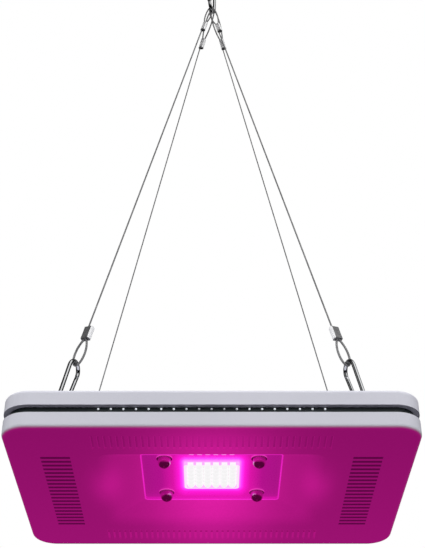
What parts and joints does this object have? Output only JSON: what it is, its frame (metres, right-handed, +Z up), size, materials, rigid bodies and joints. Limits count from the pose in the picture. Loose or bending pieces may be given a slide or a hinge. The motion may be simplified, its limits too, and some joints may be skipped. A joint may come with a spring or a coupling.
{
  "type": "led grow light",
  "caption": "Flat two-shell hanging LED grow light with a chip-on-board light engine in a shallow reflector, on four wire ropes and snap hooks.",
  "frame": {"origin": "seat inside the top snap hook's wide bow, where the ceiling hook bears", "axes": "+Z up, +X along the lamp's width to the right, -Y towards the lamp's front edge"},
  "size_m": [0.31, 0.22, 0.6103],
  "materials": {
    "cover_plastic": "fine satin moulding",
    "gasket_rubber": "matt black silicone",
    "sink_black": "black anodised",
    "fin_metal": "mill finish",
    "window_seal": "white silicone",
    "board_white": "white solder mask on an aluminium core",
    "pad_grey": "soft thermal pad",
    "lens_white": "white moulded frame",
    "dome_silicone": "clear silicone lens, lit",
    "screw_steel": "nickel plated",
    "zinc_steel": "bright zinc plated",
    "rope_steel": "stranded galvanised wire",
    "ferrule_metal": "crimped, satin",
    "driver_plastic": "potted case",
    "terminal_plastic": "ivory terminal block",
    "lead_red": "insulated lead",
    "lead_blue": "insulated lead",
    "gland_plastic": "black nylon"
  },
  "bodies": {
    "top_hook": {"top_hook_body": "zinc_steel"},
    "top_gate": {"top_hook_gate": "zinc_steel"},
    "snap_front_left": {"snap_body_front_left": "zinc_steel"},
    "gate_front_left": {"snap_gate_front_left": "zinc_steel"},
    "snap_front_right": {"snap_body_front_right": "zinc_steel"},
    "gate_front_right": {"snap_gate_front_right": "zinc_steel"},
    "snap_back_left": {"snap_body_back_left": "zinc_steel"},
    "gate_back_left": {"snap_gate_back_left": "zinc_steel"},
    "snap_back_right": {"snap_body_back_right": "zinc_steel"},
    "gate_back_right": {"snap_gate_back_right": "zinc_steel"},
    "lamp": {"lower_cover": "cover_plastic", "lower_gasket": "gasket_rubber", "heat_sink_base": "sink_black", "fin_block": "fin_metal", "upper_gasket": "gasket_rubber", "upper_cover": "cover_plastic", "window_gasket": "window_seal", "light_board": "board_white", "thermal_pad": "pad_grey", "lens_frame": "lens_white", "lens_domes": "dome_silicone", "board_screws": "screw_steel", "board_washers": "screw_steel", "band_pins": "screw_steel", "case_screws": "screw_steel", "driver_case": "driver_plastic", "driver_lid": "driver_plastic", "terminal_block": "terminal_plastic", "light_leads": "lead_red", "supply_leads": "lead_blue", "gland_body": "gland_plastic", "gland_nut": "gland_plastic", "gland_seal": "gasket_rubber", "eye_washers": "zinc_steel", "eye_nuts": "zinc_steel", "eye_bolt_front_left": "zinc_steel", "eye_bolt_front_right": "zinc_steel", "eye_bolt_back_left": "zinc_steel", "eye_bolt_back_right": "zinc_steel", "wire_front_left": "rope_steel", "wire_front_right": "rope_steel", "wire_back_left": "rope_steel", "wire_back_right": "rope_steel", "low_ferrule_front_left": "ferrule_metal", "low_ferrule_front_right": "ferrule_metal", "low_ferrule_back_left": "ferrule_metal", "low_ferrule_back_right": "ferrule_metal", "top_ferrule_front_left": "ferrule_metal", "top_ferrule_front_right": "ferrule_metal", "top_ferrule_back_left": "ferrule_metal", "top_ferrule_back_right": "ferrule_metal"}
  },
  "joints": [
    {"name": "lamp_swing", "type": "hinge", "parent": "top_hook", "child": "lamp", "pos_m": [0, 0, -0.0449], "axis": [0.3746, 0.9272, 0], "range_deg": [-25, 25]},
    {"name": "top_hook_gate_open", "type": "hinge", "parent": "top_hook", "child": "top_gate", "pos_m": [-0.00249, -0.00617, -0.03531], "axis": [-0.9272, 0.3746, 0], "range_deg": [0, 20], "stiffness_Nm_per_rad": 0.1, "springref_deg": -17.19},
    {"name": "snap_turn_front_left", "type": "hinge", "parent": "lamp", "child": "snap_front_left", "pos_m": [-0.11965, -0.05711, -0.56293], "axis": [0.222, 0.1024, 0.9697], "range_deg": [-12, 12]},
    {"name": "snap_gate_open_front_left", "type": "hinge", "parent": "snap_front_left", "child": "gate_front_left", "pos_m": [-0.11569, -0.04983, -0.55472], "axis": [0.9352, -0.3039, -0.182], "range_deg": [0, 20], "stiffness_Nm_per_rad": 0.1, "springref_deg": -17.19},
    {"name": "snap_turn_front_right", "type": "hinge", "parent": "lamp", "child": "snap_front_right", "pos_m": [0.11965, -0.05711, -0.56293], "axis": [-0.2243, 0.1053, 0.9688], "range_deg": [-12, 12]},
    {"name": "snap_gate_open_front_right", "type": "hinge", "parent": "snap_front_right", "child": "gate_front_right", "pos_m": [0.11567, -0.0498, -0.55475], "axis": [0.9349, 0.3038, 0.1835], "range_deg": [0, 20], "stiffness_Nm_per_rad": 0.1, "springref_deg": -17.19},
    {"name": "snap_turn_back_left", "type": "hinge", "parent": "lamp", "child": "snap_back_left", "pos_m": [-0.11965, 0.05711, -0.56293], "axis": [0.2243, -0.1053, 0.9688], "range_deg": [-12, 12]},
    {"name": "snap_gate_open_back_left", "type": "hinge", "parent": "snap_back_left", "child": "gate_back_left", "pos_m": [-0.11567, 0.0498, -0.55475], "axis": [-0.9349, -0.3038, 0.1835], "range_deg": [0, 20], "stiffness_Nm_per_rad": 0.1, "springref_deg": -17.19},
    {"name": "snap_turn_back_right", "type": "hinge", "parent": "lamp", "child": "snap_back_right", "pos_m": [0.11965, 0.05711, -0.56293], "axis": [-0.222, -0.1024, 0.9697], "range_deg": [-12, 12]},
    {"name": "snap_gate_open_back_right", "type": "hinge", "parent": "snap_back_right", "child": "gate_back_right", "pos_m": [0.11569, 0.04983, -0.55472], "axis": [-0.9352, 0.3039, -0.182], "range_deg": [0, 20], "stiffness_Nm_per_rad": 0.1, "springref_deg": -17.19}
  ]
}
